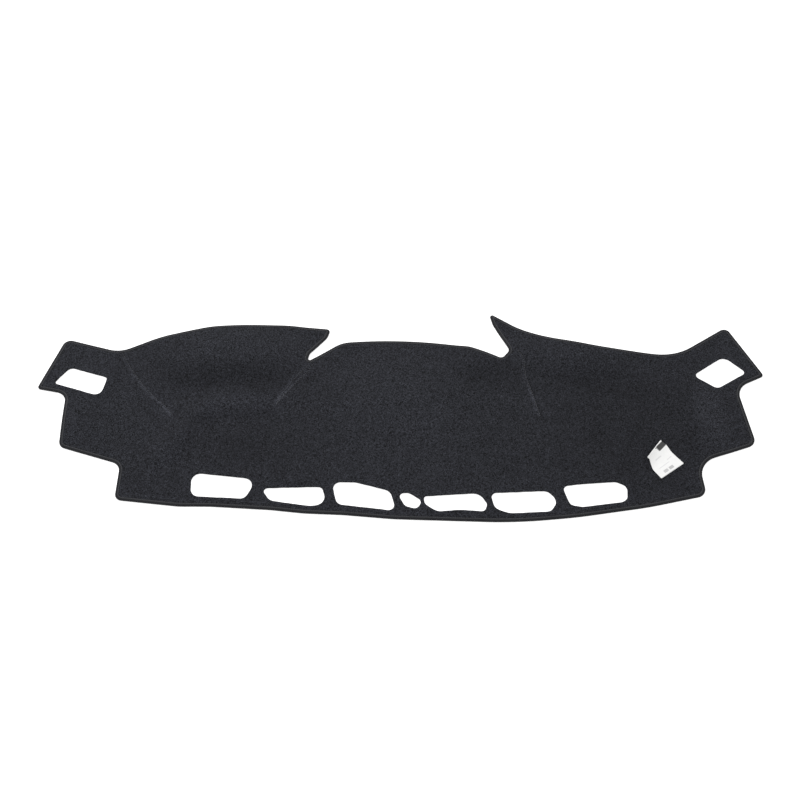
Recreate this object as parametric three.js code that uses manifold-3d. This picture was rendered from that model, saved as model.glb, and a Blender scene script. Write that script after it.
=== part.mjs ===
// Dashboard cover mat: a sheet of carpet felt, cut to the top of a dashboard, with a tape bound over its
// rim and a paper ticket lying on it. Millimetres, +Z up, lying flat. +X runs along the mat to the right
// and +Y points away from the windscreen edge. The origin is the middle of the mat, on the table.
import * as THREE from 'three';
import { mergeVertices } from 'three/addons/utils/BufferGeometryUtils.js';
import Module from 'manifold-3d';

const wasm = await Module();
wasm.setup();

// Thicknesses and clearances
const FELT_THICKNESS = 4;
const TAPE_THICKNESS = 0.6;
const TAPE_TURN_IN = 6.5;
const TAPE_RECESS = 0.3;
const CLEARANCE = 0.3;

// Lie of the cloth: the pitch at which the swells are sampled, and the finest turn of a rounded corner
const CLOTH_PITCH = 34;
const CORNER_STEP = 18;

// Dart seams: a narrow valley where the cloth is taken in
const SEAM_WIDTH = 4;
const SEAM_DEPTH = 1.2;

// Ticket: cut size, where its near edge lies, and how its far end curls
const TICKET_WIDTH = 58;
const TICKET_LONG_SIDE = 65;
const TICKET_SHORT_SIDE = 48;
const TICKET_THICKNESS = 0.4;
const TICKET_X = 523.5;
const TICKET_Y = -134;
const TICKET_TURN = 36;
const TICKET_FLAT_LENGTH = 24;
const TICKET_LIFT = 12;
const TICKET_LOW_LIFT = 4;
const TICKET_NOTCH = 7;
const TICKET_HOLLOW = 2;
const TICKET_CORNER = 1.5;
const TICKET_PITCH = 8;

// Outline of the felt, anticlockwise from the left tab. Each station is a corner: its x, its y and the
// radius that rounds it.
const LEFT_END = [
  [-731, 61, 6],
  [-671, 48.5, 24],
  [-669, -77, 15],
  [-545, -117, 22],
  [-547.5, -196.5, 14],
];
const WINDSCREEN_EDGE = [
  [-424, -211, 150],
  [-365, -211, 300],
  [-250, -218.5, 400],
  [-185, -226, 300],
  [-110, -229.5, 300],
  [-15, -238.5, 500],
  [120, -243, 700],
  [215, -246, 900],
  [330, -235, 900],
  [470, -213, 900],
  [583, -187, 19],
];
const RIGHT_END = [
  [576, -114, 44],
  [693.5, -72, 19],
  [672, 63, 36],
  [731, 92, 6],
  [669.5, 213, 12],
];
const PASSENGER_RIM = [
  [558, 140, 111],
  [400, 160.5, 500],
  [272, 189, 300],
];
const RIGHT_NOTCH = [
  [182.5, 250, 4],
  [189.5, 221, 20],
  [222, 152, 13],
  [204.5, 131, 10],
];
const CENTRE_RIM = [
  [139, 163.5, 60],
  [5, 182.5, 900],
  [-122, 174, 60],
];
const LEFT_NOTCH = [
  [-192, 124, 4],
  [-188.5, 145, 24],
  [-152.5, 188, 30],
  [-147, 208, 6],
];
const HOOD_RIM = [
  [-230, 216.5, 200],
  [-390, 207.5, 260],
  [-497, 187.5, 200],
  [-575, 150.5, 60],
  [-640, 169, 100],
];
const LEFT_TAB = [
  [-688, 183, 16],
];

// Openings cut through the felt, clockwise, in the same form: seven windscreen vents from left to right,
// the fourth a small oval, and one outlet in each end tab
const VENTS = [
  [[-406, -136, 17], [-289, -150, 16], [-287, -170, 20], [-300, -195, 14], [-403, -189, 16]],
  [[-269, -171, 7], [-153, -168, 10], [-142, -207, 19], [-175, -211, 60], [-252, -199, 20]],
  [
    [-134, -157, 14], [-88, -158, 60], [-22, -177, 20],
    [-10, -222, 11], [-60, -215, 60], [-124, -207, 16],
  ],
  [[-8, -182, 8], [14, -181, 14], [38, -198, 9], [31, -218, 10], [6, -211, 14]],
  [
    [42, -189, 6], [147, -182, 22], [164, -205, 14], [158, -223, 9],
    [110, -219, 150], [68, -223, 22], [44, -206, 13],
  ],
  [
    [170, -182, 10], [280, -177, 20], [298, -200, 18],
    [284, -223, 16], [205, -227, 40], [177, -216, 20],
  ],
  [
    [308, -167, 10], [345, -162, 60], [412, -157, 20], [433, -167, 14],
    [431, -201, 16], [345, -213, 25], [321, -209, 14],
  ],
];
const END_OUTLETS = [
  [[-671, 113, 14], [-593, 88, 7], [-603, 42, 15], [-700, 74, 6]],
  [[589, 93, 8], [656, 140, 18], [698, 100, 8], [634, 60, 14]],
];

// Swells of the cloth: middle x and y, half length, half width, turn in degrees and height
const SWELLS = [
  [-345, 150, 190, 130, -4, 20],
  [-330, 28, 150, 50, 8, 9],
  [-440, -55, 110, 45, 55, 7],
  [-30, 40, 220, 150, 0, 7],
  [350, 150, 170, 85, -8, 11],
  [180, 135, 90, 70, 0, 6],
  [-660, -20, 90, 80, 0, 4],
  [600, -25, 60, 110, 0, 6],
];

// Dart seams, each from the rim to its point
const DARTS = [
  [[-568, 146], [-545, 106], [-513, 61], [-493, 39], [-476, 24], [-453, -4]],
  [[-188, 118], [-197, 100], [-218, 73], [-249, 19]],
  [[238, 150], [247, 134], [251, 91], [258, 64], [275, -7]],
];

// Height of the underside of the cloth over the table: each swell dies out at its own edge
function swellHeight(x, y) {
  let height = 0;
  for (const [middleX, middleY, halfLength, halfWidth, turn, rise] of SWELLS) {
    const angle = THREE.MathUtils.degToRad(turn);
    const dx = x - middleX;
    const dy = y - middleY;
    const along = (dx * Math.cos(angle) + dy * Math.sin(angle)) / halfLength;
    const across = (dy * Math.cos(angle) - dx * Math.sin(angle)) / halfWidth;
    const share = Math.max(0, 1 - along ** 2 - across ** 2);
    height += rise * share ** 2;
  }
  return height;
}

// The same height read from the flat triangles between the sampled points, as layer() makes them
function clothHeight(x, y) {
  const column = Math.floor(x / CLOTH_PITCH);
  const row = Math.floor(y / CLOTH_PITCH);
  const across = x / CLOTH_PITCH - column;
  const up = y / CLOTH_PITCH - row;
  const sample = (i, j) => swellHeight((column + i) * CLOTH_PITCH, (row + j) * CLOTH_PITCH);
  const near = sample(0, 0);
  const far = sample(1, 1);
  if (across >= up) {
    const side = sample(1, 0);
    return near + across * (side - near) + up * (far - side);
  }
  const side = sample(0, 1);
  return near + up * (side - near) + across * (far - side);
}

// Closed triangle mesh as a solid for joins and cuts
function solidFrom(geometry) {
  geometry.deleteAttribute('normal');
  geometry.deleteAttribute('uv');
  const merged = mergeVertices(geometry);
  const vertProperties = new Float32Array(merged.getAttribute('position').array);
  const triVerts = new Uint32Array(merged.getIndex().array);
  return new wasm.Manifold(new wasm.Mesh({ numProp: 3, vertProperties, triVerts }));
}

// Stations turned into a closed line of points, moved outwards by grow on the side away from the felt.
// Every corner is an arc; on a moved line the arc keeps its middle, and never gets tighter than a hair.
function roundedLoop(stations, grow = 0) {
  const count = stations.length;
  const directionFrom = (index) => {
    const [x, y] = stations[index % count];
    const [nextX, nextY] = stations[(index + 1) % count];
    return new THREE.Vector2(nextX - x, nextY - y).normalize();
  };
  const points = [];
  for (let index = 0; index < count; index += 1) {
    const [x, y, radius] = stations[index];
    const arriving = directionFrom(index + count - 1);
    const leaving = directionFrom(index);
    const turn = Math.atan2(arriving.cross(leaving), arriving.dot(leaving));
    const bend = Math.sign(turn) || 1;
    const outwards = new THREE.Vector2(arriving.y + leaving.y, -arriving.x - leaving.x);
    const corner = outwards.multiplyScalar(grow / (1 + arriving.dot(leaving))).add(new THREE.Vector2(x, y));
    const arcRadius = Math.max(radius + grow * bend, CLEARANCE);
    const setBack = arcRadius * Math.tan(Math.abs(turn) / 2);
    const start = corner.clone().addScaledVector(arriving, -setBack);
    const middle = new THREE.Vector2(-arriving.y, arriving.x).multiplyScalar(bend * arcRadius).add(start);
    const steps = Math.ceil(Math.abs(THREE.MathUtils.radToDeg(turn)) / CORNER_STEP);
    for (let step = 0; step <= steps; step += 1) {
      points.push(start.clone().rotateAround(middle, (turn * step) / steps));
    }
  }
  return points;
}

// Upright block with the loop as its plan, from low to high
function prism(loop, low, high) {
  const plan = new THREE.Shape(loop);
  const geometry = new THREE.ExtrudeGeometry(plan, { depth: high - low, bevelEnabled: false });
  geometry.translate(0, 0, low);
  return solidFrom(geometry);
}

// Layer of cloth or paper over a whole area, following a height, between two levels above it
function layer(heightAt, low, high, area, pitch) {
  const firstColumn = Math.floor(area.min.x / pitch) - 1;
  const firstRow = Math.floor(area.min.y / pitch) - 1;
  const columns = Math.ceil(area.max.x / pitch) + 1 - firstColumn;
  const rows = Math.ceil(area.max.y / pitch) + 1 - firstRow;
  const positions = [];
  for (const level of [low, high]) {
    for (let row = 0; row <= rows; row += 1) {
      for (let column = 0; column <= columns; column += 1) {
        const x = (firstColumn + column) * pitch;
        const y = (firstRow + row) * pitch;
        positions.push(x, y, heightAt(x, y) + level);
      }
    }
  }
  const top = (columns + 1) * (rows + 1);
  const at = (column, row) => row * (columns + 1) + column;
  const indices = [];
  const wall = (from, to) => indices.push(from, to, to + top, from, to + top, from + top);
  for (let row = 0; row < rows; row += 1) {
    for (let column = 0; column < columns; column += 1) {
      const a = at(column, row);
      const b = at(column + 1, row);
      const c = at(column + 1, row + 1);
      const d = at(column, row + 1);
      indices.push(a, c, b, a, d, c);
      indices.push(top + a, top + b, top + c, top + a, top + c, top + d);
    }
  }
  for (let column = 0; column < columns; column += 1) {
    wall(at(column, 0), at(column + 1, 0));
    wall(at(column + 1, rows), at(column, rows));
  }
  for (let row = 0; row < rows; row += 1) {
    wall(at(columns, row), at(columns, row + 1));
    wall(at(0, row + 1), at(0, row));
  }
  const geometry = new THREE.BufferGeometry();
  geometry.setAttribute('position', new THREE.Float32BufferAttribute(positions, 3));
  geometry.setIndex(indices);
  return solidFrom(geometry);
}

const OUTLINE = [
  ...LEFT_END, ...WINDSCREEN_EDGE, ...RIGHT_END, ...PASSENGER_RIM, ...RIGHT_NOTCH,
  ...CENTRE_RIM, ...LEFT_NOTCH, ...HOOD_RIM, ...LEFT_TAB,
];
const TAPE_REACH = CLEARANCE + TAPE_THICKNESS;
const MAT_AREA = new THREE.Box2().setFromPoints(roundedLoop(OUTLINE, TAPE_REACH));
const HIGHEST = SWELLS.reduce((sum, swell) => sum + swell[5], FELT_THICKNESS);

// Block over the mat's plan, moved outwards by grow, taller than the cloth ever stands
function matBlock(grow) {
  return prism(roundedLoop(OUTLINE, grow), -FELT_THICKNESS, HIGHEST + FELT_THICKNESS);
}

function clothLayer(low, high) {
  return layer(swellHeight, low, high, MAT_AREA, CLOTH_PITCH);
}

// V-shaped cutter that runs along a dart, point down in the felt
function seamCutter(path) {
  const curve = new THREE.SplineCurve(path.map(([x, y]) => new THREE.Vector2(x, y)));
  const steps = Math.round(curve.getLength() / SEAM_WIDTH / 4);
  const positions = [];
  const indices = [];
  for (let step = 0; step <= steps; step += 1) {
    const point = curve.getPointAt(step / steps);
    const tangent = curve.getTangentAt(step / steps);
    const taper = Math.sin(Math.PI * Math.min(0.5, (1 - step / steps) * 2)) + CLEARANCE;
    const surface = clothHeight(point.x, point.y) + FELT_THICKNESS;
    for (const side of [-1, 1]) {
      const x = point.x - tangent.y * side * SEAM_WIDTH;
      const y = point.y + tangent.x * side * SEAM_WIDTH;
      positions.push(x, y, surface + SEAM_DEPTH * (2 - taper));
    }
    positions.push(point.x, point.y, surface - SEAM_DEPTH * taper);
    if (step > 0) {
      const now = step * 3;
      const before = now - 3;
      for (const [from, to] of [[0, 1], [1, 2], [2, 0]]) {
        indices.push(before + from, now + from, now + to, before + from, now + to, before + to);
      }
    }
  }
  indices.push(0, 1, 2, steps * 3, steps * 3 + 2, steps * 3 + 1);
  const geometry = new THREE.BufferGeometry();
  geometry.setAttribute('position', new THREE.Float32BufferAttribute(positions, 3));
  geometry.setIndex(indices);
  return solidFrom(geometry);
}

// The felt: full thickness inside the tape, pressed thinner under it, then the openings and darts
function matPanel() {
  const inside = clothLayer(0, FELT_THICKNESS).intersect(matBlock(-TAPE_TURN_IN - CLEARANCE));
  const pressed = TAPE_RECESS + TAPE_REACH;
  const pressedRim = clothLayer(pressed, FELT_THICKNESS - pressed).intersect(matBlock(0));
  let panel = inside.add(pressedRim);
  for (const opening of [...VENTS, ...END_OUTLETS]) {
    const edge = roundedLoop(opening).reverse();
    panel = panel.subtract(prism(edge, -FELT_THICKNESS, HIGHEST + FELT_THICKNESS));
  }
  for (const dart of DARTS) {
    panel = panel.subtract(seamCutter(dart));
  }
  return panel;
}

// The tape: folded over the rim, drawn tight so that it lies a little in from both faces of the felt
function edgeBinding() {
  const wrap = clothLayer(TAPE_RECESS, FELT_THICKNESS - TAPE_RECESS).intersect(matBlock(TAPE_REACH));
  const lining = TAPE_RECESS + TAPE_THICKNESS;
  const rimSpace = clothLayer(lining, FELT_THICKNESS - lining).intersect(matBlock(CLEARANCE));
  return wrap.subtract(matBlock(-TAPE_TURN_IN)).subtract(rimSpace);
}

// How high the ticket stands above its flat near end, more at its left corner than at its right one
function ticketCurl(x, y) {
  const acrossShare = x / TICKET_WIDTH + 1 / 2;
  const farEdge = THREE.MathUtils.lerp(TICKET_SHORT_SIDE, TICKET_LONG_SIDE, acrossShare);
  const share = Math.max(0, y - TICKET_FLAT_LENGTH) / (farEdge - TICKET_FLAT_LENGTH);
  return THREE.MathUtils.lerp(TICKET_LIFT, TICKET_LOW_LIFT, acrossShare) * share ** 2;
}

// The ticket, drawn with its near edge on the x axis: its long side is slightly hollow, and its short
// side has a notch where the paper buckles
function ticket() {
  const half = TICKET_WIDTH / 2;
  const paper = [
    [-half, 0, TICKET_CORNER],
    [half, 0, TICKET_CORNER],
    [half - TICKET_HOLLOW, TICKET_LONG_SIDE / 2, TICKET_LONG_SIDE],
    [half, TICKET_LONG_SIDE - 2 * TICKET_NOTCH, TICKET_NOTCH],
    [half - TICKET_NOTCH / 2, TICKET_LONG_SIDE, TICKET_CORNER],
    [TICKET_NOTCH / 2 - half, TICKET_SHORT_SIDE, TICKET_CORNER],
    [TICKET_NOTCH - half, TICKET_SHORT_SIDE - TICKET_NOTCH / 2, TICKET_CORNER],
    [-half, TICKET_SHORT_SIDE / 2, TICKET_SHORT_SIDE / 2],
  ];
  const loop = roundedLoop(paper);
  const area = new THREE.Box2().setFromPoints(loop);
  const sheet = layer(ticketCurl, 0, TICKET_THICKNESS, area, TICKET_PITCH);
  return sheet.intersect(prism(loop, -TICKET_LIFT, 2 * TICKET_LIFT));
}

// Highest felt under the placed ticket, less what the ticket's own curl clears
function ticketSeat(placement) {
  const step = TICKET_PITCH / 4;
  let seat = 0;
  for (let x = -TICKET_WIDTH / 2; x <= TICKET_WIDTH / 2; x += step) {
    for (let y = 0; y <= TICKET_LONG_SIDE; y += step) {
      const spot = new THREE.Vector3(x, y, 0).applyMatrix4(placement);
      seat = Math.max(seat, clothHeight(spot.x, spot.y) - ticketCurl(x, y));
    }
  }
  return seat;
}

// Finishes
function finish(name, color, roughness) {
  return new THREE.MeshStandardMaterial({ name, color, roughness, metalness: 0 });
}
const FELT = finish('charcoal felt', '#2f2f33', 0.96);
const TAPE = finish('binding tape', '#3a3a3f', 0.85);
const PAPER = finish('ticket paper', '#f2f2ef', 0.6);

// A finished solid as a named mesh
function namedMesh(name, solid, material) {
  const { vertProperties, triVerts } = solid.getMesh();
  const geometry = new THREE.BufferGeometry();
  geometry.setAttribute('position', new THREE.BufferAttribute(vertProperties, 3));
  geometry.setIndex(new THREE.BufferAttribute(triVerts, 1));
  geometry.computeVertexNormals();
  const mesh = new THREE.Mesh(geometry, material);
  mesh.name = name;
  return mesh;
}

const label = namedMesh('label', ticket(), PAPER);
label.position.set(TICKET_X, TICKET_Y, 0);
label.rotation.z = THREE.MathUtils.degToRad(TICKET_TURN);
label.updateMatrix();
label.position.z = ticketSeat(label.matrix) + FELT_THICKNESS + CLEARANCE;

const mat = new THREE.Group();
mat.name = 'dashboard_cover_mat';
mat.add(namedMesh('mat_panel', matPanel(), FELT));
mat.add(namedMesh('edge_binding', edgeBinding(), TAPE));
mat.add(label);

// The middle of the bound rim comes to the origin
const middle = MAT_AREA.getCenter(new THREE.Vector2());
mat.position.set(-middle.x, -middle.y, 0);

export default mat;
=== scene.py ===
"""Dashboard cover mat: charcoal carpet felt with a bound rim, three sewn darts and a paper ticket.

Metres, +Z up, the mat lying flat on a white table. The windscreen edge is the near one.
"""

import logging
import math
import random
from collections.abc import Callable, Iterable
from dataclasses import dataclass, field
from enum import Enum

import bmesh
import bpy
from bmesh.types import BMEdge, BMesh, BMVert, BMFace
from bpy.types import Material, Node, NodeSocket, NodeTree, Object
from mathutils import Matrix, Vector, noise
from mathutils.kdtree import KDTree


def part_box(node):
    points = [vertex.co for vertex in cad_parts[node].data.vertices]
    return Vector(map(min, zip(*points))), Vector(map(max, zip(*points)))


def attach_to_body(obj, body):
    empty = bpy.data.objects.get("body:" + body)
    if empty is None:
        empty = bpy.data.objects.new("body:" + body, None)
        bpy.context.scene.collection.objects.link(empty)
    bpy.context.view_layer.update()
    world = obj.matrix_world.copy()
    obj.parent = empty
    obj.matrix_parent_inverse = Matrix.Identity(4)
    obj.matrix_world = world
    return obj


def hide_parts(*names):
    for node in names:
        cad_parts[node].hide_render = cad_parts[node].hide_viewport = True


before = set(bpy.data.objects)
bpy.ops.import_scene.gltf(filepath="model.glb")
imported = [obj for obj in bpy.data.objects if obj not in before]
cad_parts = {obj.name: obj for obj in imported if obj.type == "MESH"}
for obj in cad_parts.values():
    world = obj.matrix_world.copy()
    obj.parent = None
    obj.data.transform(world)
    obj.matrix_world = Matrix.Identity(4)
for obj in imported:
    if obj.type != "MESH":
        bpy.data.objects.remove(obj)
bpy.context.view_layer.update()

LOG = logging.getLogger("dashboard_mat")

Corner = tuple[float, float, float]
Point = tuple[float, float]

WELD = 1e-6


class Slot(Enum):
    """Finishes of the mat's pieces."""

    FELT = "felt"
    TAPE = "tape"
    PAPER = "paper"


@dataclass(frozen=True)
class Pattern:
    """Cutting pattern of the mat. A corner is its x, its y and the radius that rounds it.

    The rim runs anticlockwise from the left tab, the openings run clockwise.
    """

    left_end: tuple[Corner, ...] = (
        (-0.731, 0.061, 0.006), (-0.671, 0.0485, 0.024), (-0.669, -0.077, 0.015),
        (-0.545, -0.117, 0.022), (-0.5475, -0.1965, 0.014),
    )
    windscreen_edge: tuple[Corner, ...] = (
        (-0.424, -0.211, 0.15), (-0.365, -0.211, 0.3), (-0.25, -0.2185, 0.4),
        (-0.185, -0.226, 0.3), (-0.11, -0.2295, 0.3), (-0.015, -0.2385, 0.5),
        (0.12, -0.243, 0.7), (0.215, -0.246, 0.9), (0.33, -0.235, 0.9),
        (0.47, -0.213, 0.9), (0.583, -0.187, 0.019),
    )
    right_end: tuple[Corner, ...] = (
        (0.576, -0.114, 0.044), (0.6935, -0.072, 0.019), (0.672, 0.063, 0.036),
        (0.731, 0.092, 0.006), (0.6695, 0.213, 0.012),
    )
    passenger_rim: tuple[Corner, ...] = (
        (0.558, 0.14, 0.111), (0.4, 0.1605, 0.5), (0.272, 0.189, 0.3),
    )
    right_notch: tuple[Corner, ...] = (
        (0.1825, 0.25, 0.004), (0.1895, 0.221, 0.02), (0.222, 0.152, 0.013),
        (0.2045, 0.131, 0.01),
    )
    centre_rim: tuple[Corner, ...] = (
        (0.139, 0.1635, 0.06), (0.005, 0.1825, 0.9), (-0.122, 0.174, 0.06),
    )
    left_notch: tuple[Corner, ...] = (
        (-0.192, 0.124, 0.004), (-0.1885, 0.145, 0.024), (-0.1525, 0.188, 0.03),
        (-0.147, 0.208, 0.006),
    )
    hood_rim: tuple[Corner, ...] = (
        (-0.23, 0.2165, 0.2), (-0.39, 0.2075, 0.26), (-0.497, 0.1875, 0.2),
        (-0.575, 0.1505, 0.06), (-0.64, 0.169, 0.1),
    )
    left_tab: tuple[Corner, ...] = ((-0.688, 0.183, 0.016),)
    near_rim_below: float = -0.18
    openings: tuple[tuple[Corner, ...], ...] = (
        (
            (-0.406, -0.136, 0.017), (-0.289, -0.15, 0.016), (-0.287, -0.17, 0.02),
            (-0.3, -0.195, 0.014), (-0.403, -0.189, 0.016),
        ),
        (
            (-0.269, -0.171, 0.007), (-0.153, -0.168, 0.01), (-0.142, -0.207, 0.019),
            (-0.175, -0.211, 0.06), (-0.252, -0.199, 0.02),
        ),
        (
            (-0.134, -0.157, 0.014), (-0.088, -0.158, 0.06), (-0.022, -0.177, 0.02),
            (-0.01, -0.222, 0.011), (-0.06, -0.215, 0.06), (-0.124, -0.207, 0.016),
        ),
        (
            (-0.008, -0.182, 0.008), (0.014, -0.181, 0.014), (0.038, -0.198, 0.009),
            (0.031, -0.218, 0.01), (0.006, -0.211, 0.014),
        ),
        (
            (0.042, -0.189, 0.006), (0.147, -0.182, 0.022), (0.164, -0.205, 0.014),
            (0.158, -0.223, 0.009), (0.11, -0.219, 0.15), (0.068, -0.223, 0.022),
            (0.044, -0.206, 0.013),
        ),
        (
            (0.17, -0.182, 0.01), (0.28, -0.177, 0.02), (0.298, -0.2, 0.018),
            (0.284, -0.223, 0.016), (0.205, -0.227, 0.04), (0.177, -0.216, 0.02),
        ),
        (
            (0.308, -0.167, 0.01), (0.345, -0.162, 0.06), (0.412, -0.157, 0.02),
            (0.433, -0.167, 0.014), (0.431, -0.201, 0.016), (0.345, -0.213, 0.025),
            (0.321, -0.209, 0.014),
        ),
        (
            (-0.671, 0.113, 0.014), (-0.593, 0.088, 0.007), (-0.603, 0.042, 0.015),
            (-0.7, 0.074, 0.006),
        ),
        (
            (0.589, 0.093, 0.008), (0.656, 0.14, 0.018), (0.698, 0.1, 0.008),
            (0.634, 0.06, 0.014),
        ),
    )

    @property
    def rim(self) -> list[Corner]:
        """All corners of the rim in order."""
        stretches = (
            self.left_end, self.windscreen_edge, self.right_end, self.passenger_rim,
            self.right_notch, self.centre_rim, self.left_notch, self.hood_rim, self.left_tab,
        )
        return [corner for stretch in stretches for corner in stretch]


def rounded_loop(corners: Iterable[Corner], grow: float, step: float) -> list[Vector]:
    """Turns corners into a closed line of points, each corner an arc and each straight cut up.

    Args:
        corners: The corners in order.
        grow: How far the line is moved to the right of its direction. An arc keeps its middle.
        step: The longest distance between two points on the line that isn't moved.

    Returns:
        Points in the plane, as many for any grow, so that two such lines pair up.
    """
    stations = [(Vector((x, y)), radius) for x, y, radius in corners]
    count = len(stations)
    tightest = WELD * 100
    widest_turn = math.radians(12)
    arcs: list[list[Vector]] = []
    straight_steps: list[int] = []
    for index, (place, radius) in enumerate(stations):
        arriving = (place - stations[index - 1][0]).normalized()
        following = stations[(index + 1) % count]
        leaving = (following[0] - place).normalized()
        turn = math.atan2(arriving.cross(leaving), arriving.dot(leaving))
        bend = math.copysign(1.0, turn)
        outwards = Vector((arriving.y + leaving.y, -arriving.x - leaving.x))
        corner = place + outwards * (grow / (1 + arriving.dot(leaving)))
        arc_radius = max(radius + grow * bend, tightest)
        set_back = arc_radius * math.tan(abs(turn) / 2)
        start = corner - arriving * set_back
        middle = start + Vector((-arriving.y, arriving.x)) * (bend * arc_radius)
        steps = max(2, math.ceil(max(abs(turn) * radius / step, abs(turn) / widest_turn)))
        arc = []
        for number in range(steps + 1):
            arm = (start - middle).to_3d()
            arm.rotate(Matrix.Rotation(turn * number / steps, 3, "Z"))
            arc.append(middle + arm.to_2d())
        arcs.append(arc)
        run = (following[0] - place).length
        straight_steps.append(max(1, math.ceil(run / step)))
    loop: list[Vector] = []
    for index, arc in enumerate(arcs):
        loop.extend(arc)
        end = arcs[(index + 1) % count][0]
        steps = straight_steps[index]
        loop.extend(arc[-1].lerp(end, number / steps) for number in range(1, steps))
    return loop


def smooth_path(points: Iterable[Point], step: float) -> list[Vector]:
    """Draws a smooth line through chosen points.

    Args:
        points: The points that the line passes through.
        step: About how far apart the returned points are.

    Returns:
        Points along the line, from the first chosen point to the last.
    """
    knots = [Vector(point) for point in points]
    knots = [knots[0] * 2 - knots[1], *knots, knots[-1] * 2 - knots[-2]]
    path = [knots[1]]
    for before, start, end, after in zip(knots, knots[1:], knots[2:], knots[3:]):
        steps = max(1, round((end - start).length / step))
        for number in range(1, steps + 1):
            t = number / steps
            linear = (end - before) * t
            square = (before * 2 - start * 5 + end * 4 - after) * t**2
            cubic = (start * 3 - before - end * 3 + after) * t**3
            path.append(start + (linear + square + cubic) / 2)
    return path


def smooth_step(value: float) -> float:
    """Rises softly from 0 to 1 as the value does, and stays there."""
    share = min(1.0, max(0.0, value))
    return share * share * (3 - 2 * share)


def bell(away: float, width: float) -> float:
    """1 where away is 0, falling softly to 0 well beyond the width."""
    return math.exp(-((away / width) ** 2))


def nearest_of(points: Iterable[Vector]) -> KDTree:
    """Tree that finds the nearest of some points in the plane."""
    places = [point.to_3d() for point in points]
    tree = KDTree(len(places))
    for index, place in enumerate(places):
        tree.insert(place, index)
    tree.balance()
    return tree


def distance(tree: KDTree, place: Vector) -> float:
    """Distance in the plane from a place to the nearest point of a tree."""
    return tree.find(place.to_3d())[2]


def drawing_shift(pattern: Pattern, tape_reach: float) -> Vector:
    """Shift that brings the pattern from the drawing's place to the frame's.

    Args:
        pattern: The cutting pattern.
        tape_reach: How far the tape stands out beyond the cut rim.

    Returns:
        The shift in the plane.
    """
    loop = rounded_loop(pattern.rim, tape_reach, 0.01)
    low = Vector((min(point.x for point in loop), min(point.y for point in loop)))
    high = Vector((max(point.x for point in loop), max(point.y for point in loop)))
    frame_low, frame_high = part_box("edge_binding")
    return (frame_low + frame_high).to_2d() / 2 - (low + high) / 2


@dataclass
class Lie:
    """How the mat lies on the table: the swells that its darts throw up, and soft unevenness."""

    shift: Vector
    swells: tuple[tuple[float, float, float, float, float, float], ...] = (
        (-0.345, 0.15, 0.19, 0.13, -4, 0.02),
        (-0.33, 0.028, 0.15, 0.05, 8, 0.009),
        (-0.44, -0.055, 0.11, 0.045, 55, 0.007),
        (-0.03, 0.04, 0.22, 0.15, 0, 0.007),
        (0.35, 0.15, 0.17, 0.085, -8, 0.011),
        (0.18, 0.135, 0.09, 0.07, 0, 0.006),
        (-0.66, -0.02, 0.09, 0.08, 0, 0.004),
        (0.6, -0.025, 0.06, 0.11, 0, 0.006),
    )
    uneven_height: float = 0.0005
    uneven_length: float = 0.055

    def in_frame(self, points: Iterable[Vector]) -> list[Vector]:
        """Brings points from the drawing's place to the frame's."""
        return [point + self.shift for point in points]

    def height(self, place: Vector) -> float:
        """Height of the mat's underside over the table at a place in the frame."""
        height = 0.0
        drawn = place - self.shift
        for (middle_x, middle_y, half_length, half_width, turn, rise) in self.swells:
            angle = math.radians(turn)
            arm = Vector((drawn.x - middle_x, drawn.y - middle_y))
            along = arm.dot((math.cos(angle), math.sin(angle))) / half_length
            across = arm.dot((-math.sin(angle), math.cos(angle))) / half_width
            share = max(0.0, 1 - along**2 - across**2)
            height += rise * share**2
        spot = Vector((place.x, place.y, 0.0)) / self.uneven_length
        return height + self.uneven_height * (1 + noise.noise(spot)) / 2

    def slope(self, place: Vector) -> Vector:
        """Upward normal of the cloth at a place in the frame."""
        reach = 0.002
        east = self.height(place + Vector((reach, 0))) - self.height(place - Vector((reach, 0)))
        north = self.height(place + Vector((0, reach))) - self.height(place - Vector((0, reach)))
        return Vector((-east, -north, 2 * reach)).normalized()


def new_object(name: str, bm: BMesh, *materials: Material) -> Object:
    """Turns a bmesh into a smooth-shaded object at the origin.

    Args:
        name: Name of the piece.
        bm: The finished mesh, which is freed.
        materials: Its materials in the order of their indices.

    Returns:
        The linked object.
    """
    mesh = bpy.data.meshes.new(name)
    bm.to_mesh(mesh)
    bm.free()
    mesh.shade_smooth()
    for material in materials:
        mesh.materials.append(material)
    piece = bpy.data.objects.new(name, mesh)
    bpy.context.scene.collection.objects.link(piece)
    return piece


def closed_ring(bm: BMesh, loop: list[Vector], level: float) -> list[BMEdge]:
    """Adds a closed line of edges.

    Args:
        bm: Mesh that takes the edges.
        loop: The line's points.
        level: Their height.

    Returns:
        The edges.
    """
    verts = [bm.verts.new((point.x, point.y, level)) for point in loop]
    return [bm.edges.new(pair) for pair in zip(verts, verts[1:] + verts[:1])]


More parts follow.
